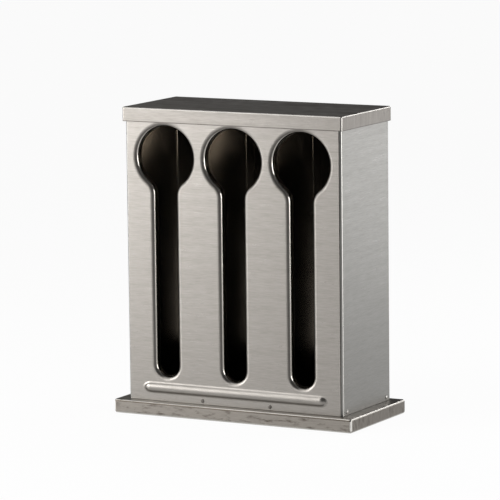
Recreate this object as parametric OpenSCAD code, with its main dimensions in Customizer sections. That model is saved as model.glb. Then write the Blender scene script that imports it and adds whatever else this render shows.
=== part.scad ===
// Three-bay spoon holder in bent sheet steel, with a lift-off lid.
// The origin is the middle of the underside. The front faces -Y and +Z is up.

/* [Sheet] */
// Thickness of all the sheet metal
sheet = 1; // [0.8:0.1:1.2]
// Inside radius of the body's upright bends
body_bend = 1.2; // [0.8:0.1:1.6]
// Inside radius of the plinth's bends
plinth_bend = 1.3; // [0.8:0.1:2]
// Inside radius of the lid's bends
lid_bend = 0.8; // [0.4:0.1:1.2]
// Inside radius of the bends on the dividers and the floor pan
inner_bend = 0.5; // [0.3:0.1:0.8]

/* [Body] */
// Width over the side walls
body_w = 226.2; // [222:0.2:250]
// Depth over the front panel and the back wall
body_d = 98; // [88:1:130]
// Height from the plinth's top to the lid's underside
body_h = 275.6; // [250:0.2:320]
// Gap between the plinth's top and the lower edges of the walls
wall_lift = 0.2; // [0.2:0.1:1.2]
// Flat strip left bare between the front panel's edges and the corner bends
panel_setback = 0.3; // [0.1:0.1:1]
// Gap between the outer rims and the shell's returns behind the front panel
return_gap = 1.6; // [0.6:0.1:2.5]

/* [Keyholes] */
// Distance between neighbouring keyholes
bay_pitch = 71.2; // [68:0.2:75]
// Clear diameter of the round mouths
mouth_d = 58; // [54:0.2:59]
// Distance of the mouths' centres below the lid's underside
mouth_drop = 45.2; // [44:0.2:80]
// Clear width of the slots
slot_w = 22.6; // [18:0.1:27]
// Height of the slots' lower ends above the plinth's top
slot_foot = 23.9; // [23.5:0.1:60]
// Outside radius of the rolled rims
rim_r = 4.6; // [2:0.1:4.8]
// Depth of the rolled rims behind the panel's face
rim_depth = 8; // [5:0.1:10]

/* [Bead] */
// Length of the bead
bead_l = 196; // [100:1:210]
// Height of the bead
bead_h = 10; // [6:0.2:12]
// How far the bead stands out from the panel
bead_proud = 2.4; // [2:0.1:4]
// Height of the bead's middle above the plinth's top
bead_rise = 12.6; // [11.5:0.1:14]

/* [Dividers and floor] */
// Width of the dividers' flanges
flange_w = 9; // [7:0.5:12]
// Gap between a mouth's rim and the web of the divider beside it
web_gap = 0.2; // [0.2:0.1:1]
// Height of the floor pan's side flanges
pan_flange_h = 9; // [7:0.5:14]

/* [Plinth] */
// Height of the plinth
plinth_h = 13.4; // [9:0.2:25]
// Overhang of the plinth beyond the side walls
plinth_side = 12.2; // [4:0.2:20]
// Overhang of the plinth beyond the front panel and the back wall
plinth_front = 7.4; // [4:0.2:16]
// Width of the flange turned in under the plinth
plinth_return = 12; // [6:1:20]

/* [Lid] */
// Height of the lid over its top and skirt
lid_h = 13.6; // [8:0.2:20]
// Room between the walls and the start of the lid's bends
lid_ease = 0.1; // [0.1:0.1:0.6]

/* [Rivets] */
// Diameter of the shanks
rivet_d = 2.4; // [1.6:0.1:2.8]
// Diameter of the heads and of the closed ends
rivet_head_d = 3.6; // [3.2:0.1:4.4]
// Height of the heads and radius of their round edges
rivet_head_h = 0.7; // [0.4:0.1:1]
// Height of the closed ends
rivet_tail_h = 0.8; // [0.4:0.1:1]
// Room round a shank in its hole
rivet_gap = 0.05; // [0.02:0.01:0.1]
// Flat land between a rivet's end and the bend beside it
rivet_land = 0.2; // [0.2:0.1:1]
// Distance of the side rivets from the front and the back of the body
side_rivet_inset = 8.5; // [7:0.5:30]
// Distance of the upper back rivets below the lid's underside
back_rivet_drop = 104; // [90:1:160]
// Distance of the floor rivets in front of and behind the middle
floor_rivet_y = 25; // [10:1:35]

/* [Hidden] */
$fn = 96;

steel_light = [0.80, 0.79, 0.77];
steel_mid = [0.70, 0.69, 0.67];
steel_dark = [0.55, 0.54, 0.53];

// Overlap of a cut past the face that it opens
cut = 1;
// Reach of the wedges that trim the rims, past any rim
reach = 3 * mouth_d;

// Levels
floor_z = plinth_h + sheet;
wall_z = plinth_h + wall_lift;
top_z = plinth_h + body_h;
lid_z = top_z + sheet;

// Faces of the body
front_y = -body_d / 2;
panel_back_y = front_y + sheet;
back_y = body_d / 2;
back_inner_y = back_y - sheet;
side_x = body_w / 2;
side_inner_x = side_x - sheet;
panel_w = body_w - 2 * (body_bend + sheet + panel_setback);

// Keyholes
bays = [-bay_pitch, 0, bay_pitch];
mouth_r = mouth_d / 2;
mouth_z = top_z - mouth_drop;
mouth_outer_r = mouth_r + rim_r;
slot_r = slot_w / 2;
slot_z = plinth_h + slot_foot + slot_r;

// Necks: arcs that run from the mouth into the slot's sides. Their centres lie from the mouth's
// centre along a 3-4-5 triangle, which sets their radius and keeps every joint of the rim exact.
neck_dir = [0.6, 0.8];
neck_r = (neck_dir[0] * mouth_r - slot_r) / (1 - neck_dir[0]);
neck_x = slot_r + neck_r;
neck_z = mouth_z - neck_dir[1] * (mouth_r + neck_r);
neck_angle = acos(neck_dir[0]);

// Each rim carries a flat land, and the panel's cut-out runs along the middle of that land
rim_land = 1.6;
cutout_grow = rim_r + rim_land / 2;
cutout_steps = 6;
returns_x = bay_pitch + mouth_outer_r + return_gap;

// Bead: a round bar of this radius, sunk so that its chord and height come out right
bead_r = (pow(bead_h / 2, 2) + pow(bead_proud, 2)) / (2 * bead_proud);
bead_axis_y = front_y + bead_r - bead_proud;
bead_z = plinth_h + bead_rise;
bead_half = (bead_l - bead_h) / 2;

// Dividers: the left face of each web, beside the mouth on its left
web_x = [for (bay = [bays[0], bays[1]]) bay + mouth_outer_r + web_gap];
divider_d = back_inner_y - panel_back_y;
divider_y = (back_inner_y + panel_back_y) / 2;
front_flange_z = mouth_z - mouth_outer_r;

// Floor pan, inside the bends of the shell
pan_w = 2 * side_inner_x;
pan_front_y = panel_back_y + sheet + body_bend;
pan_back_y = back_inner_y - body_bend;

// Plinth and lid
plinth_w = body_w + 2 * plinth_side;
plinth_d = body_d + 2 * plinth_front;
lid_gap = lid_bend + lid_ease;
lid_w = body_w + 2 * (lid_gap + sheet);
lid_d = body_d + 2 * (lid_gap + sheet);

// Rivets
grip = 2 * sheet;
rivet_edge = sheet + inner_bend + rivet_land + rivet_head_d / 2;
rivet_z = plinth_h + rivet_edge;
divider_rivet_x = [for (x = web_x) x + rivet_edge];
side_rivet_y = [front_y + side_rivet_inset, back_y - side_rivet_inset];
back_rivet_z = [rivet_z, top_z - back_rivet_drop];
rivet_flat_r = rivet_head_d / 2 - rivet_head_h;

// Rectangle round the origin with round corners
module rounded_rect(w, h, r) {
    square([w - 2 * r, h], center = true);
    square([w, h - 2 * r], center = true);
    for (x = [-1, 1], y = [-1, 1])
        translate([x * (w / 2 - r), y * (h / 2 - r)]) circle(r);
}

// Block on the plane z = 0 with all its edges rounded
module rounded_block(w, d, h, r) {
    intersection() {
        linear_extrude(h) rounded_rect(w, d, r);
        rotate([90, 0, 0]) linear_extrude(d, center = true) translate([0, h / 2]) rounded_rect(w, h, r);
        rotate([90, 0, 90]) linear_extrude(w, center = true) translate([0, h / 2]) rounded_rect(d, h, r);
    }
}

// Section of a bent channel: web on the line x = 0, centred on y, flanges toward +X
module channel_section(web, flange, r) {
    intersection() {
        difference() {
            translate([flange, 0]) rounded_rect(2 * flange, web, r + sheet);
            translate([flange, 0]) rounded_rect(2 * (flange - sheet), web - 2 * sheet, r);
        }
        translate([0, -web / 2]) square([flange, web]);
    }
}

// Rivet along Z with the seat of its head at z = 0, the head flat on top with a round edge
module rivet() {
    rotate_extrude() {
        square([rivet_flat_r, rivet_head_h]);
        intersection() {
            translate([rivet_flat_r, 0]) circle(rivet_head_h);
            square([rivet_head_d / 2, rivet_head_h]);
        }
    }
    translate([0, 0, -grip]) cylinder(d = rivet_d, h = grip);
    translate([0, 0, -grip - rivet_tail_h]) cylinder(d = rivet_head_d, h = rivet_tail_h);
}

// Hole through both sheets that a rivet holds
module rivet_hole() {
    translate([0, 0, -grip - cut]) cylinder(d = rivet_d + 2 * rivet_gap, h = grip + 2 * cut);
}

module at_front_rivets() {
    for (x = divider_rivet_x)
        translate([x, front_y, rivet_z]) rotate([90, 0, 0]) children();
}

module at_back_rivets() {
    for (x = divider_rivet_x, z = back_rivet_z)
        translate([x, back_y, z]) rotate([-90, 0, 0]) children();
}

module at_left_rivets() {
    for (y = side_rivet_y)
        translate([-side_x, y, rivet_z]) rotate([0, -90, 0]) children();
}

module at_right_rivets() {
    for (y = side_rivet_y)
        translate([side_x, y, rivet_z]) rotate([0, 90, 0]) children();
}

module at_floor_rivets() {
    for (x = [bays[0], bays[2]], y = [-floor_rivet_y, floor_rivet_y])
        translate([x, y, floor_z]) children();
}

// Section of a rolled rim: x runs out from the clear edge, y runs back from the panel's face
module rim_section() {
    intersection() {
        difference() {
            translate([rim_r, rim_r]) circle(rim_r);
            translate([rim_r, rim_r]) circle(rim_r - sheet);
        }
        square(rim_r);
    }
    translate([0, rim_r]) square([sheet, rim_depth - rim_r]);
    translate([rim_r, 0]) square([rim_land, sheet]);
}

// Whole rim round an axis square to the panel
module rim_ring() {
    rotate([-90, 0, 0]) rotate_extrude() children();
}

// Prism square to the panel, right through a rim
module through_rim() {
    translate([0, rim_depth + cut, 0]) rotate([90, 0, 0]) linear_extrude(rim_depth + 2 * cut) children();
}

// One side of a keyhole's rim: slot and neck
module rim_side() {
    translate([slot_r, 0, slot_z]) linear_extrude(neck_z - slot_z) rim_section();
    translate([neck_x, 0, neck_z]) intersection() {
        rim_ring() translate([neck_r, 0]) mirror([1, 0]) rim_section();
        through_rim() polygon(reach * [[0, 0], [-1, 0], [-1, neck_dir[1]], [-neck_dir[0], neck_dir[1]]]);
    }
}

module keyhole_rim() {
    rim_side();
    mirror([1, 0, 0]) rim_side();
    translate([0, 0, slot_z]) intersection() {
        rim_ring() translate([slot_r, 0]) rim_section();
        through_rim() translate([-reach, -reach]) square([2 * reach, reach]);
    }
    translate([0, 0, mouth_z]) difference() {
        rim_ring() translate([mouth_r, 0]) rim_section();
        through_rim() polygon(reach * [[0, 0], [neck_dir[0], -neck_dir[1]], [-neck_dir[0], -neck_dir[1]]]);
    }
}

// Cut-out in the flat panel, which the rim's land closes up to the rim; x across, y up
module keyhole_cutout() {
    neck_cut_r = neck_r - cutout_grow;
    right = [for (i = [0 : cutout_steps])
        let (a = 180 - neck_angle * i / cutout_steps)
        [neck_x + neck_cut_r * cos(a), neck_z + neck_cut_r * sin(a)]];
    left = [for (i = [cutout_steps : -1 : 0]) [-right[i][0], right[i][1]]];
    polygon(concat(right, [[0, mouth_z]], left));
    translate([0, mouth_z]) circle(mouth_r + cutout_grow);
    translate([0, slot_z]) circle(slot_r + cutout_grow);
    translate([-slot_r - cutout_grow, slot_z]) square([2 * (slot_r + cutout_grow), neck_z - slot_z]);
}

// Round bar of the bead with round ends, or the hollow behind it
module bead_bar(r) {
    translate([-bead_half, bead_axis_y, bead_z]) {
        rotate([0, 90, 0]) cylinder(r = r, h = 2 * bead_half);
        sphere(r);
        translate([2 * bead_half, 0, 0]) sphere(r);
    }
}

module panel_sheet() {
    translate([0, panel_back_y, 0]) rotate([90, 0, 0]) linear_extrude(sheet) difference() {
        translate([-panel_w / 2, wall_z]) square([panel_w, top_z - wall_z]);
        for (x = bays) translate([x, 0]) keyhole_cutout();
    }
}

module lid() {
    color(steel_light) difference() {
        translate([0, 0, lid_z - 2 * lid_h])
            rounded_block(lid_w, lid_d, 2 * lid_h, lid_bend + sheet);
        translate([0, 0, lid_z - 2 * lid_h + sheet])
            rounded_block(lid_w - 2 * sheet, lid_d - 2 * sheet, 2 * (lid_h - sheet), lid_bend);
        translate([-lid_w, -lid_d, lid_z - 3 * lid_h]) cube([2 * lid_w, 2 * lid_d, 2 * lid_h]);
    }
}

module body_shell() {
    color(steel_mid) difference() {
        translate([0, 0, wall_z]) linear_extrude(top_z - wall_z) difference() {
            translate([0, sheet / 2]) rounded_rect(body_w, body_d - sheet, body_bend + sheet);
            translate([0, sheet / 2]) rounded_rect(2 * side_inner_x, body_d - 3 * sheet, body_bend);
            translate([-returns_x, front_y]) square([2 * returns_x, 3 * sheet]);
        }
        at_left_rivets() rivet_hole();
        at_right_rivets() rivet_hole();
        at_back_rivets() rivet_hole();
    }
}

module front_panel() {
    color(steel_light) difference() {
        union() {
            panel_sheet();
            for (x = bays) translate([x, front_y, 0]) keyhole_rim();
            intersection() {
                bead_bar(bead_r);
                translate([-panel_w / 2, panel_back_y - 2 * bead_r, wall_z])
                    cube([panel_w, 2 * bead_r, top_z - wall_z]);
            }
        }
        bead_bar(bead_r - sheet);
        at_front_rivets() rivet_hole();
    }
}

module divider(i) {
    difference() {
        translate([web_x[i], divider_y, floor_z]) linear_extrude(top_z - floor_z)
            channel_section(divider_d, flange_w, inner_bend);
        translate([web_x[i] + sheet, panel_back_y - cut, front_flange_z])
            cube([flange_w, cut + sheet + inner_bend, top_z]);
        at_front_rivets() rivet_hole();
        at_back_rivets() rivet_hole();
    }
}

module left_divider() {
    color(steel_dark) divider(0);
}

module right_divider() {
    color(steel_dark) divider(1);
}

module floor_pan() {
    color(steel_dark) difference() {
        translate([0, pan_front_y, plinth_h]) rotate([-90, -90, 0])
            linear_extrude(pan_back_y - pan_front_y) channel_section(pan_w, pan_flange_h, inner_bend);
        at_left_rivets() rivet_hole();
        at_right_rivets() rivet_hole();
        at_floor_rivets() rivet_hole();
    }
}

module base_plinth() {
    color(steel_mid) difference() {
        rounded_block(plinth_w, plinth_d, plinth_h, plinth_bend + sheet);
        translate([0, 0, sheet])
            rounded_block(plinth_w - 2 * sheet, plinth_d - 2 * sheet, plinth_h - 2 * sheet, plinth_bend);
        translate([0, 0, -cut]) linear_extrude(cut + sheet + plinth_bend)
            rounded_rect(plinth_w - 2 * plinth_return, plinth_d - 2 * plinth_return, plinth_bend);
        at_floor_rivets() rivet_hole();
    }
}

module front_rivets() {
    color(steel_light) at_front_rivets() rivet();
}

module left_rivets() {
    color(steel_light) at_left_rivets() rivet();
}

module right_rivets() {
    color(steel_light) at_right_rivets() rivet();
}

module back_rivets() {
    color(steel_light) at_back_rivets() rivet();
}

module floor_rivets() {
    color(steel_light) at_floor_rivets() rivet();
}

lid();
body_shell();
front_panel();
left_divider();
right_divider();
floor_pan();
base_plinth();
front_rivets();
left_rivets();
right_rivets();
back_rivets();
floor_rivets();
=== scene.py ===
import bmesh
import bpy
import math
from mathutils import Matrix, Vector


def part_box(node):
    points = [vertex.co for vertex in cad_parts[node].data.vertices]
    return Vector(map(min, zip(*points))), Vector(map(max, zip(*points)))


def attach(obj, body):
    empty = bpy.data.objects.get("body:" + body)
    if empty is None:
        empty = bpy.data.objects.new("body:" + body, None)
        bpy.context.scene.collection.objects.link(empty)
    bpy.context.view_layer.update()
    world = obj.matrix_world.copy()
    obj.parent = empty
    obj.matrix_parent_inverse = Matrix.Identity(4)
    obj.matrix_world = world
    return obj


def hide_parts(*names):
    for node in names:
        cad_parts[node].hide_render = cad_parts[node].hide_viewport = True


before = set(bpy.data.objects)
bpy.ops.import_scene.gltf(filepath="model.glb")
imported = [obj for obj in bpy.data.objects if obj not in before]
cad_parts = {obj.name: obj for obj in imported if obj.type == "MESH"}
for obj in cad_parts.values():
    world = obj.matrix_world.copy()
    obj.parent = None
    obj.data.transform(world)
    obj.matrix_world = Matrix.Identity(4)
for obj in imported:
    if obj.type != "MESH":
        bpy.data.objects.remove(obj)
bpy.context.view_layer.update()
mm = 0.001


# camera: the photo's view, a long lens a little above the lid and well round to the right
cameraSet = {"lens": 265.4, "sensor": 36.0, "azimuth": 28.427, "elevation": 8.232, "roll": -0.656,
             "distance": 3.4515, "target": (-0.00824, 0.0, 0.15428), "clipEnd": 60}


def makeCamera(look):
    az, el, roll = (math.radians(look[key]) for key in ("azimuth", "elevation", "roll"))
    back = Vector((math.sin(az) * math.cos(el), -math.cos(az) * math.cos(el), math.sin(el)))
    right = Vector((math.cos(az), math.sin(az), 0))
    up = back.cross(right)
    turnedRight = right * math.cos(roll) + up * math.sin(roll)
    turnedUp = up * math.cos(roll) - right * math.sin(roll)
    bpy.ops.object.camera_add()
    camera = bpy.context.object
    camera.name = "photoCamera"
    camera.data.lens = look["lens"]
    camera.data.sensor_width = look["sensor"]
    camera.data.clip_end = look["clipEnd"]
    place = Matrix((turnedRight, turnedUp, back)).transposed().to_4x4()
    place.translation = Vector(look["target"]) + back * look["distance"]
    camera.matrix_world = place
    bpy.context.scene.camera = camera
    print("camera placed")


# materials

def hexColour(text):
    # sRGB hex to the linear values that the shaders take
    parts = [int(text[i:i + 2], 16) / 255 for i in (1, 3, 5)]
    return tuple(p / 12.92 if p <= 0.04045 else ((p + 0.055) / 1.055) ** 2.4 for p in parts) + (1.0,)


def addNode(tree, kind, inputs=None, **settings):
    # a Mix node takes values at sockets 2 and 3 and colours at 6 and 7; its colour comes out at 2
    node = tree.nodes.new(kind)
    for key, value in settings.items():
        setattr(node, key, value)
    for key, value in (inputs or {}).items():
        if isinstance(value, bpy.types.NodeSocket):
            tree.links.new(value, node.inputs[key])
        else:
            node.inputs[key].default_value = value
    return node


def newMaterial(name):
    material = bpy.data.materials.new(name)
    material.use_nodes = True
    material.node_tree.nodes.clear()
    return material, material.node_tree


# stage: a wide sheet of matte white paper, whose glow in reflections falls off away from the holder
# and ends at an edge toward the camera, where the mirror-like rims and inner faces see a dark room
paperSet = {"size": 18.0, "tone": "#fefefe", "strength": 1.0, "glow": 0.96, "near": 0.2, "far": 0.8,
            "farGlow": 0.1, "edgeWay": (0.476, -0.879, 0.0), "edge": (0.9, 1.05), "roomTone": "#0c0c0c"}


def makeFloor(look):
    bpy.ops.object.select_all(action="DESELECT")
    bpy.ops.mesh.primitive_plane_add(size=look["size"])
    floor = bpy.context.object
    floor.name = "paperFloor"
    material, tree = newMaterial("matteWhitePaper")
    paper = addNode(tree, "ShaderNodeBsdfDiffuse", {"Color": hexColour(look["tone"])})
    white = addNode(tree, "ShaderNodeEmission",
                    {"Color": hexColour(look["tone"]), "Strength": look["strength"]})
    place = addNode(tree, "ShaderNodeTexCoord")
    away = addNode(tree, "ShaderNodeVectorMath", {0: place.outputs["Object"]}, operation="LENGTH")
    fall = addNode(tree, "ShaderNodeMapRange",
                   {"Value": away.outputs["Value"], "From Min": look["near"], "From Max": look["far"],
                    "To Min": 1.0, "To Max": look["farGlow"]})
    path = addNode(tree, "ShaderNodeLightPath")
    mirrored = addNode(tree, "ShaderNodeMath",
                       {0: path.outputs["Is Glossy Ray"], 1: path.outputs["Is Transmission Ray"]},
                       operation="MAXIMUM")
    dimmed = addNode(tree, "ShaderNodeMath", {0: mirrored.outputs[0], 1: fall.outputs[0]},
                     operation="MULTIPLY")
    seen = addNode(tree, "ShaderNodeMath", {0: path.outputs["Is Camera Ray"], 1: dimmed.outputs[0]},
                   operation="MAXIMUM")
    # what is left of the mix is the lit paper, which keeps the soft shadow round the base
    share = addNode(tree, "ShaderNodeMath", {0: seen.outputs[0], 1: look["glow"]}, operation="MULTIPLY")
    mix = addNode(tree, "ShaderNodeMixShader",
                  {0: share.outputs[0], 1: paper.outputs[0], 2: white.outputs[0]})
    ahead = addNode(tree, "ShaderNodeVectorMath", {0: place.outputs["Object"], 1: look["edgeWay"]},
                    operation="DOT_PRODUCT")
    edgeStart, edgeEnd = look["edge"]
    paperEdge = addNode(tree, "ShaderNodeMapRange",
                        {"Value": ahead.outputs["Value"], "From Min": edgeEnd, "From Max": edgeStart})
    laid = addNode(tree, "ShaderNodeMath", {0: paperEdge.outputs[0], 1: path.outputs["Is Camera Ray"]},
                   operation="MAXIMUM")
    darkRoom = addNode(tree, "ShaderNodeBsdfDiffuse", {"Color": hexColour(look["roomTone"])})
    ground = addNode(tree, "ShaderNodeMixShader",
                     {0: laid.outputs[0], 1: darkRoom.outputs[0], 2: mix.outputs[0]})
    addNode(tree, "ShaderNodeOutputMaterial", {"Surface": ground.outputs[0]})
    floor.data.materials.append(material)
    print("floor laid")


# lamps: soft boxes from the front round to the left, a pair behind on the right and one on the right
lampSet = {
    "room": 0.13,
    "aim": (0.0, 0.0, 0.15),
    "lamps": [
        {"name": "softBoxFront", "at": (-0.33, -1.02, 0.33), "size": (0.5, 0.5), "level": 1.8},
        {"name": "softBoxFrontLeft", "at": (-0.71, -0.77, 0.33), "size": (0.6, 0.5), "level": 3.1},
        {"name": "softBoxFrontHigh", "at": (-0.5, -0.8, 0.98), "size": (0.6, 0.8), "level": 2.5},
        {"name": "softBoxLeft", "at": (-0.85, -0.6, 0.33), "size": (0.55, 0.5), "level": 7.0},
        {"name": "softBoxBack", "at": (0.55, 0.95, 0.26), "size": (0.55, 0.5), "level": 2.0},
        {"name": "softBoxBackHigh", "at": (0.6, 0.92, 0.75), "size": (0.7, 0.35), "level": 6.0},
        {"name": "softBoxRight", "at": (1.1, 0.02, 0.33), "size": (0.9, 0.6), "level": 5.4},
    ],
}


def makeLamps(look):
    world = bpy.data.worlds.new("dimRoom")
    bpy.context.scene.world = world
    world.use_nodes = True
    world.node_tree.nodes["Background"].inputs["Color"].default_value = (look["room"],) * 3 + (1,)
    for lampLook in look["lamps"]:
        bpy.ops.object.light_add(type="AREA")
        lamp = bpy.context.object
        lamp.name = lampLook["name"]
        lamp.data.shape = "RECTANGLE"
        lamp.data.size, lamp.data.size_y = lampLook["size"]
        lamp.data.energy = lampLook["level"] * math.pi * lampLook["size"][0] * lampLook["size"][1]
        way = Vector(lampLook["at"]) - Vector(look["aim"])
        place = way.to_track_quat("Z", "Y").to_matrix().to_4x4()
        place.translation = Vector(lampLook["at"])
        lamp.matrix_world = place
    print("lamps set")


# brushed stainless sheet: short parallel scratches, so a highlight is drawn out across the grain
# each range is the part of a noise, or of the normal, over which its effect comes in
brushLook = {
    "scratchLength": 14 * mm,
    "scratchWidth": 0.8 * mm,   # real ones are about 0.1 mm wide; drawn wider so that they show
    "scratchDepth": 0.02 * mm,
    "bandLength": 110 * mm,     # faint wider bands that the belt leaves
    "streakRange": (0.3, 0.7),
    "swellSize": 90 * mm,       # slow waves of a thin sheet that has been bent
    "swellDepth": 0.12 * mm,
    "stainLength": 16 * mm,     # dried water and grease, drawn out along the grain by wiping
    "stainWidth": 4 * mm,
    "stainRange": (0.52, 0.72),
    "stainTone": "#4b443d",
    "bendRange": (0.99, 0.9),
    "smearLength": 12 * mm,     # wiped smears, which dull a top that is seen almost edge on
    "smearWidth": 16 * mm,
    "smearRange": (0.4, 0.66),
    "smearTone": "#c8c8c8",
    "acrossGrain": 0.25,        # a quarter turn draws the highlight across the scratches
}
# finish of most sheets; bendPaint is how much the bends take the bend tone, a painted highlight, or on the
# rims painted shade, and the rest say where they differ
sheetSteel = {"stains": 0.1, "bendPaint": 0.0, "bendTone": "#e4e2dd", "bandWidth": 5 * mm, "bandShare": 0.3,
              "smeared": False, "scratches": 0.3, "roughness": (0.27, 0.37), "spread": 0.75}
lidSteel = {**sheetSteel, "name": "brushedStainlessLid", "tone": "#9a9691", "deepTone": "#6a6662",
            "stains": 0.12, "bendPaint": 0.33, "bandWidth": 14 * mm, "bandShare": 0.65, "smeared": True}
skirtSteel = {**sheetSteel, "name": "brushedStainlessSkirt", "tone": "#8c8883", "deepTone": "#7c7873",
              "bendPaint": 0.33}
# the lowest strip of the lid's skirt is darkened, a painted shadow line under the lid
skirtShadowSteel = {**sheetSteel, "name": "paintedShadowSkirtFoot", "tone": "#605c58", "deepTone": "#524e4a",
             "scratches": 0.1}
baseSteel = {**sheetSteel, "name": "brushedStainlessBase", "tone": "#8c8780", "deepTone": "#7c7771",
             "stains": 0.9, "bendPaint": 0.36}
# the upright corners of the base are near white, a painted highlight
cornerHighlightSteel = {**baseSteel, "name": "paintedHighlightBaseCorner", "tone": "#e0ddd8", "deepTone": "#d2cfca",
               "stains": 0.0}
# a line of painted shade under the front bend of the base
shadeLineSteel = {**baseSteel, "name": "paintedShadeUnderBend", "tone": "#5a544d", "deepTone": "#4c4640",
              "bendPaint": 0.0}
# the grain stands upright on the sides of the lid and the base; their darker tone is painted shade
lidShadedSideSteel = {**skirtSteel, "name": "shadedSideStainlessSkirt", "tone": "#7b7772",
                "deepTone": "#6d6965"}
baseShadedSideSteel = {**baseSteel, "name": "shadedSideStainlessBase", "tone": "#7d7871",
                 "deepTone": "#6f6a64"}
wallSteel = {**sheetSteel, "name": "brushedStainlessWall", "tone": "#81807d", "deepTone": "#747370",
             "bendPaint": 0.25}
frontSteel = {**sheetSteel, "name": "brushedStainlessFront", "tone": "#94908b", "deepTone": "#84807b"}
# the die that rolls the rims rubs the grain out and leaves them matte; the dark bend tone on the rolls is
# painted shade, which dims the lamps' highlights there
rimSteel = {**frontSteel, "name": "dieRubbedStainlessRim", "bendPaint": 0.38, "bendTone": "#3a3733",
            "scratches": 0.05, "roughness": (0.5, 0.56), "spread": 0.7}
# handles lie on the foot of the slots, and slide along the inner half of the rolls and polish it; the foot
# keeps the painted shade of the rims, and the lighter tone of the inner half is a painted highlight
footSteel = {**rimSteel, "name": "handleWornStainlessFoot", "roughness": (0.3, 0.36)}
rubHighlightSteel = {**rimSteel, "name": "polishedHighlightStainlessRim", "tone": "#b4b0aa", "deepTone": "#a6a29c",
            "bendPaint": 0.0, "roughness": (0.12, 0.18), "spread": 0.3}
# the lips behind the rims are nearly black, painted shade
shadedLipSteel = {**rimSteel, "name": "paintedShadeLip", "tone": "#3a3733", "deepTone": "#332f2c",
            "bendPaint": 0.0, "scratches": 0.0, "roughness": (0.3, 0.36)}


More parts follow.
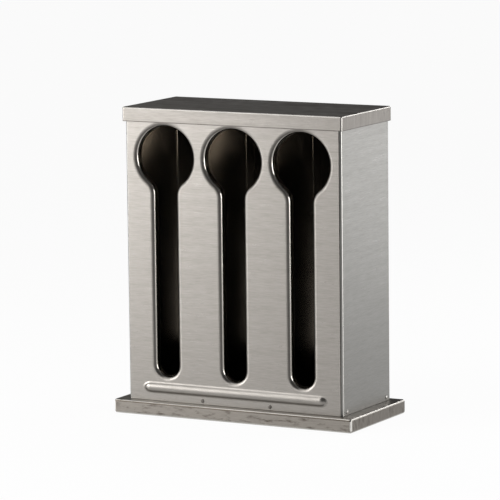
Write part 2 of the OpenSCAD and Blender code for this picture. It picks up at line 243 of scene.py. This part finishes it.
def brushedSteel(finish):
    look = brushLook
    material, tree = newMaterial(finish["name"])
    grain = addNode(tree, "ShaderNodeUVMap", uv_map="grain")
    place = addNode(tree, "ShaderNodeTexCoord")
    scratchMap = addNode(tree, "ShaderNodeMapping",
                         {"Vector": grain.outputs[0],
                          "Scale": (1 / look["scratchLength"], 1 / look["scratchWidth"], 1)})
    scratch = addNode(tree, "ShaderNodeTexNoise",
                      {"Vector": scratchMap.outputs[0], "Scale": 1.0, "Detail": 3.0, "Roughness": 0.65},
                      noise_dimensions="2D")
    bandMap = addNode(tree, "ShaderNodeMapping",
                      {"Vector": grain.outputs[0],
                       "Scale": (1 / look["bandLength"], 1 / finish["bandWidth"], 1)})
    band = addNode(tree, "ShaderNodeTexNoise", {"Vector": bandMap.outputs[0], "Scale": 1.0, "Detail": 2.0},
                   noise_dimensions="2D")
    swell = addNode(tree, "ShaderNodeTexNoise",
                    {"Vector": place.outputs["Object"], "Scale": 1 / look["swellSize"], "Detail": 0.0})
    mixed = addNode(tree, "ShaderNodeMix",
                    {0: finish["bandShare"], 2: scratch.outputs["Fac"], 3: band.outputs["Fac"]})
    streakLow, streakHigh = look["streakRange"]
    streak = addNode(tree, "ShaderNodeMapRange",
                     {"Value": mixed.outputs[0], "From Min": streakLow, "From Max": streakHigh})
    tint = addNode(tree, "ShaderNodeMix",
                   {0: streak.outputs[0], 6: hexColour(finish["deepTone"]), 7: hexColour(finish["tone"])},
                   data_type="RGBA")
    smoothest, roughest = finish["roughness"]
    rough = addNode(tree, "ShaderNodeMapRange",
                    {"Value": streak.outputs[0], "To Min": roughest, "To Max": smoothest})
    spotMap = addNode(tree, "ShaderNodeMapping",
                      {"Vector": grain.outputs[0],
                       "Scale": (1 / look["stainLength"], 1 / look["stainWidth"], 1)})
    spots = addNode(tree, "ShaderNodeTexNoise",
                    {"Vector": spotMap.outputs[0], "Scale": 1.0, "Detail": 6.0, "Roughness": 0.7},
                    noise_dimensions="2D")
    stainLow, stainHigh = look["stainRange"]
    stain = addNode(tree, "ShaderNodeMapRange",
                    {"Value": spots.outputs["Fac"], "From Min": stainLow, "From Max": stainHigh,
                     "To Max": finish["stains"]})
    soiled = addNode(tree, "ShaderNodeMix",
                     {0: stain.outputs[0], 6: tint.outputs[2], 7: hexColour(look["stainTone"])},
                     data_type="RGBA")
    # bends take the bend tone, a painted highlight, or on the rims painted shade: there the normal leaves the
    # three main directions of the sheets
    faceNormal = addNode(tree, "ShaderNodeNewGeometry")
    steep = addNode(tree, "ShaderNodeVectorMath", {0: faceNormal.outputs["Normal"]}, operation="ABSOLUTE")
    parts = addNode(tree, "ShaderNodeSeparateXYZ", {0: steep.outputs[0]})
    flatter = addNode(tree, "ShaderNodeMath", {0: parts.outputs[0], 1: parts.outputs[1]},
                      operation="MAXIMUM")
    flattest = addNode(tree, "ShaderNodeMath", {0: flatter.outputs[0], 1: parts.outputs[2]},
                       operation="MAXIMUM")
    bendStart, bendMiddle = look["bendRange"]
    bendPainted = addNode(tree, "ShaderNodeMapRange",
                   {"Value": flattest.outputs[0], "From Min": bendStart, "From Max": bendMiddle,
                    "To Max": finish["bendPaint"]})
    bendColour = addNode(tree, "ShaderNodeMix",
                   {0: bendPainted.outputs[0], 6: soiled.outputs[2], 7: hexColour(finish["bendTone"])},
                   data_type="RGBA")
    waves = addNode(tree, "ShaderNodeBump",
                    {"Height": swell.outputs["Fac"], "Distance": look["swellDepth"]})
    bump = addNode(tree, "ShaderNodeBump",
                   {"Height": scratch.outputs["Fac"], "Strength": finish["scratches"],
                    "Distance": look["scratchDepth"], "Normal": waves.outputs[0]})
    along = addNode(tree, "ShaderNodeTangent", direction_type="UV_MAP", uv_map="grain")
    steel = addNode(tree, "ShaderNodeBsdfPrincipled",
                    {"Base Color": bendColour.outputs[2], "Metallic": 1.0, "Roughness": rough.outputs[0],
                     "Anisotropic": finish["spread"], "Anisotropic Rotation": look["acrossGrain"],
                     "Normal": bump.outputs[0], "Tangent": along.outputs[0]})
    if finish["smeared"]:
        smearMap = addNode(tree, "ShaderNodeMapping",
                           {"Vector": grain.outputs[0],
                            "Scale": (1 / look["smearLength"], 1 / look["smearWidth"], 1)})
        smear = addNode(tree, "ShaderNodeTexNoise",
                        {"Vector": smearMap.outputs[0], "Scale": 1.0, "Detail": 4.0, "Roughness": 0.7},
                        noise_dimensions="2D")
        smearLow, smearHigh = look["smearRange"]
        wiped = addNode(tree, "ShaderNodeMapRange",
                        {"Value": smear.outputs["Fac"], "From Min": smearLow, "From Max": smearHigh})
        glance = addNode(tree, "ShaderNodeMix",
                         {0: wiped.outputs[0], 6: (1, 1, 1, 1), 7: hexColour(look["smearTone"])},
                         data_type="RGBA")
        tree.links.new(glance.outputs[2], steel.inputs["Specular Tint"])
    addNode(tree, "ShaderNodeOutputMaterial", {"Surface": steel.outputs[0]})
    return material


# inner side of the sheet: cold rolled and left as it came, a brownish mirror with faint rolling lines
millLook = {"name": "coldRolledStainless", "tone": "#aba59c", "deepTone": "#969088", "line": 0.6 * mm,
            "lineLength": 60 * mm, "lineDepth": 0.01 * mm, "lineStrength": 0.1, "cloud": 25 * mm,
            "cloudShare": 0.6, "roughness": (0.1, 0.17)}


def millSteel(look):
    material, tree = newMaterial(look["name"])
    grain = addNode(tree, "ShaderNodeUVMap", uv_map="grain")
    place = addNode(tree, "ShaderNodeTexCoord")
    lineMap = addNode(tree, "ShaderNodeMapping",
                      {"Vector": grain.outputs[0], "Scale": (1 / look["lineLength"], 1 / look["line"], 1)})
    line = addNode(tree, "ShaderNodeTexNoise", {"Vector": lineMap.outputs[0], "Scale": 1.0, "Detail": 2.0},
                   noise_dimensions="2D")
    cloud = addNode(tree, "ShaderNodeTexNoise",
                    {"Vector": place.outputs["Object"], "Scale": 1 / look["cloud"], "Detail": 4.0,
                     "Roughness": 0.6})
    mixed = addNode(tree, "ShaderNodeMix",
                    {0: look["cloudShare"], 2: line.outputs["Fac"], 3: cloud.outputs["Fac"]})
    tint = addNode(tree, "ShaderNodeMix",
                   {0: mixed.outputs[0], 6: hexColour(look["deepTone"]), 7: hexColour(look["tone"])},
                   data_type="RGBA")
    smoothest, roughest = look["roughness"]
    rough = addNode(tree, "ShaderNodeMapRange",
                    {"Value": cloud.outputs["Fac"], "To Min": smoothest, "To Max": roughest})
    bump = addNode(tree, "ShaderNodeBump",
                   {"Height": line.outputs["Fac"], "Strength": look["lineStrength"],
                    "Distance": look["lineDepth"]})
    steel = addNode(tree, "ShaderNodeBsdfPrincipled",
                    {"Base Color": tint.outputs[2], "Metallic": 1.0, "Roughness": rough.outputs[0],
                     "Normal": bump.outputs[0]})
    addNode(tree, "ShaderNodeOutputMaterial", {"Surface": steel.outputs[0]})
    return material


# rivets: drawn steel, clouded by handling, with a fine unbrushed grain
drawnSteel = {"cloud": 2 * mm, "grain": 0.3 * mm, "grainDepth": 0.02 * mm, "grainStrength": 0.2}
# the front, back and floor rivets take a darker copy of the steel, painted shade, and the side rivets a
# lighter copy, painted highlight
rivetLooks = [
    {**drawnSteel, "name": "shadedDrawnStainless", "tone": "#6f6b66", "deepTone": "#55514d",
     "roughness": (0.3, 0.5), "nodes": ("front_rivets", "back_rivets", "floor_rivets")},
    {**drawnSteel, "name": "highlightedDrawnStainless", "tone": "#c4c2be", "deepTone": "#a9a6a1",
     "roughness": (0.2, 0.35), "nodes": ("left_rivets", "right_rivets")},
]


def rivetSteel(look):
    material, tree = newMaterial(look["name"])
    place = addNode(tree, "ShaderNodeTexCoord")
    cloud = addNode(tree, "ShaderNodeTexNoise",
                    {"Vector": place.outputs["Object"], "Scale": 1 / look["cloud"], "Detail": 5.0,
                     "Roughness": 0.6})
    fine = addNode(tree, "ShaderNodeTexNoise",
                   {"Vector": place.outputs["Object"], "Scale": 1 / look["grain"], "Detail": 2.0})
    tint = addNode(tree, "ShaderNodeMix",
                   {0: cloud.outputs["Fac"], 6: hexColour(look["deepTone"]), 7: hexColour(look["tone"])},
                   data_type="RGBA")
    smoothest, roughest = look["roughness"]
    rough = addNode(tree, "ShaderNodeMapRange",
                    {"Value": cloud.outputs["Fac"], "To Min": smoothest, "To Max": roughest})
    bump = addNode(tree, "ShaderNodeBump",
                   {"Height": fine.outputs["Fac"], "Strength": look["grainStrength"],
                    "Distance": look["grainDepth"]})
    steel = addNode(tree, "ShaderNodeBsdfPrincipled",
                    {"Base Color": tint.outputs[2], "Metallic": 1.0, "Roughness": rough.outputs[0],
                     "Normal": bump.outputs[0]})
    addNode(tree, "ShaderNodeOutputMaterial", {"Surface": steel.outputs[0]})
    return material


# modelling helpers
touching = 0.02 * mm    # points closer than this lie in the same plane
weldGap = 0.001 * mm
faceOn = 0.9            # part of a normal along an axis that tells the sides of a starting cube
halfway = 0.7           # the same, halfway round a bend
# cut edges are those over cutAngle degrees, and what is over sharpAngle stays sharp
sheetWork = {"edgeSteps": 2, "cutAngle": 55, "sharpAngle": 40, "areaWeight": 50}


def startCube(name, low, high):
    bpy.ops.object.select_all(action="DESELECT")
    bpy.ops.mesh.primitive_cube_add(size=1, location=(low + high) / 2)
    piece = bpy.context.object
    piece.name = name
    piece.scale = high - low
    bpy.ops.object.transform_apply(location=True, rotation=True, scale=True)
    return piece


def pick(piece, kind, test):
    # selects the faces or edges of the piece in edit mode that pass the test
    bpy.ops.mesh.select_mode(type=kind)
    bpy.ops.mesh.select_all(action="DESELECT")
    mesh = bmesh.from_edit_mesh(piece.data)
    for item in (mesh.faces if kind == "FACE" else mesh.edges):
        item.select_set(test(item))
    mesh.select_flush_mode()
    bmesh.update_edit_mesh(piece.data)


def near(a, b):
    return abs(a - b) < touching


def bendEdges(look):
    # rounds the selected edges like sheet that is folded there
    bpy.ops.mesh.bevel(offset=look["bend"], segments=look["steps"], profile=0.5, affect="EDGES")


def applyModifier(piece, kind, **settings):
    bpy.context.view_layer.objects.active = piece
    modifier = piece.modifiers.new(kind, kind)
    for key, value in settings.items():
        setattr(modifier, key, value)
    bpy.ops.object.modifier_apply(modifier=modifier.name)


def finishSheet(piece, look, finishes, cutter=None, choose=None):
    # gives the skin its thickness inward, breaks the cut edges and shades the bends smooth
    # the skin takes the first finish, or the one whose place choose gives; the faces behind it take the next
    piece.data.materials.clear()
    for material in finishes:
        piece.data.materials.append(material)
    if choose:
        for face in piece.data.polygons:
            face.material_index = choose(face)
    applyModifier(piece, "SOLIDIFY", thickness=look["sheet"], offset=-1, use_even_offset=True,
                  material_offset=1)
    if cutter:
        applyModifier(piece, "BOOLEAN", operation="DIFFERENCE", object=cutter)
        bpy.data.objects.remove(cutter)
    applyModifier(piece, "BEVEL", width=look["edge"], segments=sheetWork["edgeSteps"],
                  limit_method="ANGLE", angle_limit=math.radians(sheetWork["cutAngle"]))
    bpy.ops.object.select_all(action="DESELECT")
    piece.select_set(True)
    bpy.context.view_layer.objects.active = piece
    bpy.ops.object.shade_smooth_by_angle(angle=math.radians(sheetWork["sharpAngle"]))
    applyModifier(piece, "WEIGHTED_NORMAL", mode="FACE_AREA", weight=sheetWork["areaWeight"],
                  keep_sharp=True)


def layGrain(piece, sideGrain):
    # UV map in metres whose first axis runs along the scratches of the sheet before it was bent
    layer = piece.data.uv_layers.new(name="grain")
    points = piece.data.vertices
    for face in piece.data.polygons:
        steep = [abs(n) for n in face.normal]
        for corner in face.loop_indices:
            x, y, z = points[piece.data.loops[corner].vertex_index].co
            if steep[2] >= max(steep[0], steep[1]):
                spot = (x, y)
            elif steep[1] >= steep[0]:
                spot = (x, z)
            else:
                spot = (y, z) if sideGrain == "level" else (z, y)
            layer.data[corner].uv = spot


def dress(piece, body, slot, *nodes):
    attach(piece, body)
    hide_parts(*nodes)


# lid: one sheet folded down on four sides, its skirt sheared off at the foot; the lowest strip of the skirt
# is painted dark as the shadow line under the lid
lidLook = {"sheet": 1 * mm, "bend": 1.8 * mm, "steps": 6, "edge": 0.15 * mm, "shadowStrip": 0.7 * mm}


def makeLid(look, finishes):
    low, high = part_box("lid")
    lid = startCube("lidPan", low, high)
    bpy.ops.object.mode_set(mode="EDIT")
    pick(lid, "FACE", lambda face: face.normal.z < -faceOn)
    bpy.ops.mesh.delete(type="FACE")
    pick(lid, "EDGE", lambda edge: any(not near(v.co.z, low.z) for v in edge.verts))
    bendEdges(look)
    # the strip below this line is painted dark, a shadow line under the lid
    shadowStripTop = low.z + look["shadowStrip"]
    bpy.ops.mesh.select_all(action="SELECT")
    bpy.ops.mesh.bisect(plane_co=(0, 0, shadowStripTop), plane_no=(0, 0, 1))
    bpy.ops.object.mode_set(mode="OBJECT")
    # places in finishes; the skirts are those at the front and back
    top, skirts, sides, paintedShadowFoot = 0, 2, 4, 6

    def choose(face):
        if face.normal.z > halfway:
            return top
        if face.center.z < shadowStripTop:
            return paintedShadowFoot
        # the sides take the darker finish, painted shade
        return sides if abs(face.normal.x) > halfway else skirts

    finishSheet(lid, look, finishes, choose=choose)
    layGrain(lid, "upright")
    dress(lid, "lid", "steel_lid", "lid")
    print("lid folded")


# base: a wider folded sheet with a flange turned in underneath
# the corners with their painted highlight and the line of painted shade are found by the parts of their
# normals
baseLook = {"sheet": 1 * mm, "bend": 2.3 * mm, "steps": 6, "flange": 12 * mm, "edge": 0.15 * mm,
            "cornerUp": 0.1, "cornerAside": (0.2, 0.98), "shadeLineAhead": 0.85, "shadeLineUp": 0.05}


def makeBase(look, finishes):
    low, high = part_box("base_plinth")
    base = startCube("basePan", low, high)
    bpy.ops.object.mode_set(mode="EDIT")
    pick(base, "FACE", lambda face: face.normal.z < -faceOn)
    bpy.ops.mesh.inset(thickness=look["flange"])
    bpy.ops.mesh.delete(type="FACE")
    flangeX, flangeY = high.x - look["flange"], high.y - look["flange"]
    pick(base, "EDGE", lambda edge: not all(near(abs(v.co.x), flangeX) for v in edge.verts)
         and not all(near(abs(v.co.y), flangeY) for v in edge.verts)
         and not any(near(abs(v.co.x), flangeX) and near(abs(v.co.y), flangeY) for v in edge.verts))
    bendEdges(look)
    bpy.ops.object.mode_set(mode="OBJECT")
    # places in finishes; the plain one is for the top, front, back and flange
    plain, sides, corners, shadeLine = 0, 2, 4, 6
    leastAside, mostAside = look["cornerAside"]

    def choose(face):
        aside = abs(face.normal.x)
        if abs(face.normal.z) < look["cornerUp"] and leastAside < aside < mostAside:
            return corners
        # the line under the front bend takes painted shade
        if face.normal.y < -look["shadeLineAhead"] and face.normal.z > look["shadeLineUp"]:
            return shadeLine
        # the sides take the darker finish, painted shade
        return sides if aside > halfway else plain

    finishSheet(base, look, finishes, choose=choose)
    layGrain(base, "upright")
    dress(base, "holder", "steel_base", "base_plinth")
    print("base folded")


# shell: one sheet wrapped round the left side, the back and the right side, with returns at the front
shellLook = {"sheet": 1 * mm, "bend": 2.2 * mm, "steps": 8, "returnWidth": 6.7 * mm, "edge": 0.15 * mm}


def makeShell(look, finishes):
    low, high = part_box("body_shell")
    shell = startCube("wrapShell", low, high)
    bpy.ops.object.mode_set(mode="EDIT")
    pick(shell, "FACE", lambda face: abs(face.normal.z) > faceOn or face.normal.y < -faceOn)
    bpy.ops.mesh.delete(type="FACE")
    for side in (-1, 1):
        pick(shell, "EDGE", lambda edge: all(near(v.co.y, low.y) and near(v.co.x, side * high.x)
                                             for v in edge.verts))
        bpy.ops.mesh.extrude_edges_move(TRANSFORM_OT_translate={"value": (-side * look["returnWidth"], 0, 0)})
    pick(shell, "EDGE", lambda edge: all(near(abs(v.co.x), high.x) for v in edge.verts)
         and near(edge.verts[0].co.y, edge.verts[1].co.y) and near(edge.verts[0].co.x, edge.verts[1].co.x))
    bendEdges(look)
    bpy.ops.mesh.select_all(action="SELECT")
    bpy.ops.mesh.normals_make_consistent(inside=False)
    bpy.ops.object.mode_set(mode="OBJECT")
    finishSheet(shell, look, finishes)
    layGrain(shell, "level")
    dress(shell, "holder", "steel_wall", "body_shell")
    print("shell wrapped")


# front panel: keyholes with wide rolled rims, and a shallow pressed bead along the bottom
panelLook = {
    "sheet": 1 * mm, "edge": 0.15 * mm, "land": 0.2 * mm, "keyholes": 3, "pitch": 71.2 * mm,
    "mouthRadius": 29 * mm, "mouthHeight": 243.8 * mm, "slotRadius": 11.3 * mm, "slotFoot": 48.6 * mm,
    "mouthPoints": 84, "neckPoints": 10, "sidePoints": 20, "footPoints": 36,
    "rollRadius": 4.6 * mm, "rollDepth": 8 * mm, "rollSteps": 12,
    "beadHalf": 89.1 * mm, "beadEnd": 1.5, "beadHeight": 26 * mm, "beadProud": 2.4 * mm,
    "beadLean": 44, "beadCrown": 0.65, "beadSteps": 8, "beadEndPoints": 16, "beadSidePoints": 40,
    "wornFoot": 0.4,                        # the worn foot starts this part of slotRadius below slotFoot
    "flatAhead": 0.999, "lipAhead": 0.01,   # forward parts of the normals, on the flat and on the lips
}


def arc(x, z, radius, fromAngle, toAngle, steps, stretch=1):
    # points of an arc without its last one
    return [(x + radius * stretch * math.cos(a), z + radius * math.sin(a))
            for a in (math.radians(fromAngle + (toAngle - fromAngle) * i / steps) for i in range(steps))]


def keyholeLine(look, grow):
    # outline of a keyhole, moved out into the sheet by grow; every line has the same number of points
    # the neck's centre lies from the mouth's centre along a 3-4-5 triangle
    across, down = 0.6, 0.8
    lean = math.degrees(math.atan2(4, 3))
    neckRadius = (across * look["mouthRadius"] - look["slotRadius"]) / (1 - across)
    neckAside = look["slotRadius"] + neckRadius
    neckHeight = look["mouthHeight"] - down * (look["mouthRadius"] + neckRadius)
    neck = neckRadius - grow
    side = look["slotRadius"] + grow
    count = look["sidePoints"]
    run = [look["slotFoot"] + (neckHeight - look["slotFoot"]) * i / count for i in range(count)]
    points = arc(0, look["mouthHeight"], look["mouthRadius"] + grow, -lean, 180 + lean, look["mouthPoints"])
    points += arc(-neckAside, neckHeight, neck, lean, 0, look["neckPoints"])
    points += [(-side, z) for z in reversed(run[1:] + [neckHeight])]
    points += arc(0, look["slotFoot"], side, 180, 360, look["footPoints"])
    points += [(side, z) for z in run]
    points += arc(neckAside, neckHeight, neck, 180, 180 - lean, look["neckPoints"])
    return points


def beadLine(look, wide):
    # outline of the bead at half its width
    half, height, count = look["beadHalf"], look["beadHeight"], look["beadSidePoints"]
    points = arc(half, height, wide, -90, 90, look["beadEndPoints"], look["beadEnd"])
    points += [(half * (1 - 2 * i / count), height + wide) for i in range(count)]
    points += arc(-half, height, wide, 90, 270, look["beadEndPoints"], look["beadEnd"])
    points += [(half * (2 * i / count - 1), height - wide) for i in range(count)]
    return points


def startRing(name, line, depth):
    bpy.ops.object.select_all(action="DESELECT")
    bpy.ops.mesh.primitive_circle_add(vertices=len(line), radius=1)
    ring = bpy.context.object
    ring.name = name
    for vertex, (x, z) in zip(ring.data.vertices, line):
        vertex.co = (x, depth, z)
    return ring


def growRing(ring, line, depth):
    # extrudes the open ring once more and lays the new points on the line
    bpy.ops.mesh.extrude_edges_move()
    mesh = bmesh.from_edit_mesh(ring.data)
    mesh.verts.ensure_lookup_table()
    for vertex, (x, z) in zip(mesh.verts[-len(line):], line):
        vertex.co = (x, depth, z)
    bmesh.update_edit_mesh(ring.data)


def pressKeyholes(look, front):
    # a flat land, the quarter roll and the straight lip behind it, then copies along the panel
    roll = look["rollRadius"]
    keyholes = startRing("keyholePanel", keyholeLine(look, roll + look["land"]), front)
    bpy.ops.object.mode_set(mode="EDIT")
    bpy.ops.mesh.select_all(action="SELECT")
    for step in range(look["rollSteps"] + 1):
        turn = math.pi / 2 * step / look["rollSteps"]
        line = keyholeLine(look, roll * (1 - math.sin(turn)))
        growRing(keyholes, line, front + roll * (1 - math.cos(turn)))
    growRing(keyholes, keyholeLine(look, 0), front + look["rollDepth"])
    bpy.ops.object.mode_set(mode="OBJECT")
    applyModifier(keyholes, "ARRAY", count=look["keyholes"], use_relative_offset=False,
                  use_constant_offset=True, constant_offset_displace=(look["pitch"], 0, 0))
    keyholes.location.x = -look["pitch"] * (look["keyholes"] - 1) / 2
    return keyholes


def pressBead(look, front):
    # a fillet out of the sheet and a round crown, which share the same steepest lean
    lean = math.radians(look["beadLean"])
    both = look["beadProud"] / (1 - math.cos(lean))
    crown = both * look["beadCrown"]
    fillet = both - crown
    wide = both * math.sin(lean)
    turns = [lean * step / look["beadSteps"] for step in range(look["beadSteps"] + 1)]
    sides = [(wide - fillet * math.sin(turn), fillet * (1 - math.cos(turn))) for turn in turns]
    sides += [(crown * math.sin(turn), look["beadProud"] - crown * (1 - math.cos(turn)))
              for turn in turns[-2::-1]]
    bead = startRing("bead", beadLine(look, wide + look["land"]), front)
    bpy.ops.object.mode_set(mode="EDIT")
    bpy.ops.mesh.select_all(action="SELECT")
    for aside, rise in sides:
        growRing(bead, beadLine(look, aside), front - rise)
    bpy.ops.object.mode_set(mode="OBJECT")
    return bead


def makePanel(look, finishes):
    low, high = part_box("front_panel")
    front = low.y + look["beadProud"]
    panel = pressKeyholes(look, front)
    bead = pressBead(look, front)
    # the sheet's border, then everything is joined and the flat between is filled
    bpy.ops.object.select_all(action="DESELECT")
    bpy.ops.mesh.primitive_plane_add(size=1)
    border = bpy.context.object
    corners = [(low.x, low.z), (high.x, low.z), (low.x, high.z), (high.x, high.z)]
    for vertex, (x, z) in zip(border.data.vertices, corners):
        vertex.co = (x, front, z)
    bpy.ops.object.mode_set(mode="EDIT")
    bpy.ops.mesh.select_all(action="SELECT")
    bpy.ops.mesh.delete(type="ONLY_FACE")
    bpy.ops.object.mode_set(mode="OBJECT")
    for piece in (border, bead, panel):
        piece.select_set(True)
    bpy.context.view_layer.objects.active = panel
    bpy.ops.object.join()
    bpy.ops.object.transform_apply(location=True, rotation=True, scale=True)
    bpy.ops.object.mode_set(mode="EDIT")
    bpy.ops.mesh.select_all(action="SELECT")
    bpy.ops.mesh.remove_doubles(threshold=weldGap)
    pick(panel, "EDGE", lambda edge: len(edge.link_faces) < 2
         and all(near(v.co.y, front) for v in edge.verts))
    bpy.ops.mesh.fill(use_beauty=True)
    bpy.ops.mesh.select_all(action="SELECT")
    bpy.ops.mesh.normals_make_consistent(inside=False)
    bpy.ops.object.mode_set(mode="OBJECT")
    largest = max(panel.data.polygons, key=lambda polygon: polygon.area)
    if largest.normal.y > 0:
        bpy.ops.object.mode_set(mode="EDIT")
        bpy.ops.mesh.flip_normals()
        bpy.ops.object.mode_set(mode="OBJECT")
    rimFoot = look["slotFoot"] - look["slotRadius"] - look["rollRadius"] - look["land"]
    slotEnd = look["slotFoot"] - look["wornFoot"] * look["slotRadius"]
    # places in finishes; the flat one is also for the bead, and the lips are behind the rims
    flat, innerHalf, outerHalf, wornFoot, lips = 0, 2, 4, 6, 7

    def choose(face):
        if face.normal.y < -look["flatAhead"] or face.center.z < rimFoot:
            return flat
        if face.normal.y > -look["lipAhead"]:
            return lips
        if face.normal.y > -halfway:
            return innerHalf
        return wornFoot if face.center.z < slotEnd else outerHalf

    finishSheet(panel, look, finishes, choose=choose)
    layGrain(panel, "level")
    dress(panel, "holder", "steel_front", "front_panel")
    print("front panel pressed")


# dividers: upright channels whose flanges turn to the right; the front one is cut away beside the mouths
dividerLook = {"sheet": 1 * mm, "bend": 1.5 * mm, "steps": 4, "edge": 0.15 * mm, "clear": 33.6 * mm}


def makeDivider(look, name, node, finishes):
    low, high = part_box(node)
    divider = startCube(name, low, high)
    bpy.ops.object.mode_set(mode="EDIT")
    pick(divider, "FACE", lambda face: abs(face.normal.z) > faceOn or face.normal.x > faceOn)
    bpy.ops.mesh.delete(type="FACE")
    pick(divider, "EDGE", lambda edge: all(near(v.co.x, low.x) for v in edge.verts)
         and near(edge.verts[0].co.y, edge.verts[1].co.y))
    bendEdges(look)
    bpy.ops.object.mode_set(mode="OBJECT")
    flangeTop = panelLook["mouthHeight"] - look["clear"]
    cutter = startCube("flangeCut", Vector((low.x + look["sheet"], low.y - look["sheet"], flangeTop)),
                       Vector((high.x + look["sheet"], low.y + look["bend"], high.z + look["sheet"])))
    finishSheet(divider, look, finishes, cutter)
    layGrain(divider, "level")
    dress(divider, "holder", "steel_inside", node)
    print(name, "folded")


# floor pan: a tray with its sides turned up
panLook = {"sheet": 1 * mm, "bend": 1.5 * mm, "steps": 4, "edge": 0.15 * mm}


def makePan(look, finishes):
    low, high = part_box("floor_pan")
    pan = startCube("floorPan", low, high)
    bpy.ops.object.mode_set(mode="EDIT")
    pick(pan, "FACE", lambda face: face.normal.z > faceOn or abs(face.normal.y) > faceOn)
    bpy.ops.mesh.delete(type="FACE")
    pick(pan, "EDGE", lambda edge: all(near(v.co.z, low.z) for v in edge.verts)
         and near(edge.verts[0].co.x, edge.verts[1].co.x))
    bendEdges(look)
    bpy.ops.object.mode_set(mode="OBJECT")
    finishSheet(pan, look, finishes)
    layGrain(pan, "level")
    dress(pan, "holder", "steel_inside", "floor_pan")
    print("floor pan folded")


makeCamera(cameraSet)
makeFloor(paperSet)
makeLamps(lampSet)
# in each list the finish of a part of the skin is followed by the one for the faces behind it
millFinish = millSteel(millLook)
makeLid(lidLook, [brushedSteel(lidSteel), millFinish, brushedSteel(skirtSteel), millFinish,
                  brushedSteel(lidShadedSideSteel), millFinish, brushedSteel(skirtShadowSteel), millFinish])
makeBase(baseLook, [brushedSteel(baseSteel), millFinish, brushedSteel(baseShadedSideSteel), millFinish,
                    brushedSteel(cornerHighlightSteel), millFinish, brushedSteel(shadeLineSteel), millFinish])
makeShell(shellLook, [brushedSteel(wallSteel), millFinish])
shadedLipFinish = brushedSteel(shadedLipSteel)
makePanel(panelLook, [brushedSteel(frontSteel), millFinish, brushedSteel(rubHighlightSteel), shadedLipFinish,
                      brushedSteel(rimSteel), shadedLipFinish, brushedSteel(footSteel), shadedLipFinish])
makeDivider(dividerLook, "leftDivider", "left_divider", [millFinish])
makeDivider(dividerLook, "rightDivider", "right_divider", [millFinish])
makePan(panLook, [millFinish])
for rivetLook in rivetLooks:
    rivetFinish = rivetSteel(rivetLook)
    for node in rivetLook["nodes"]:
        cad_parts[node].data.materials.clear()
        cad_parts[node].data.materials.append(rivetFinish)
print("rivets finished")

bpy.context.scene.view_settings.view_transform = "Standard"
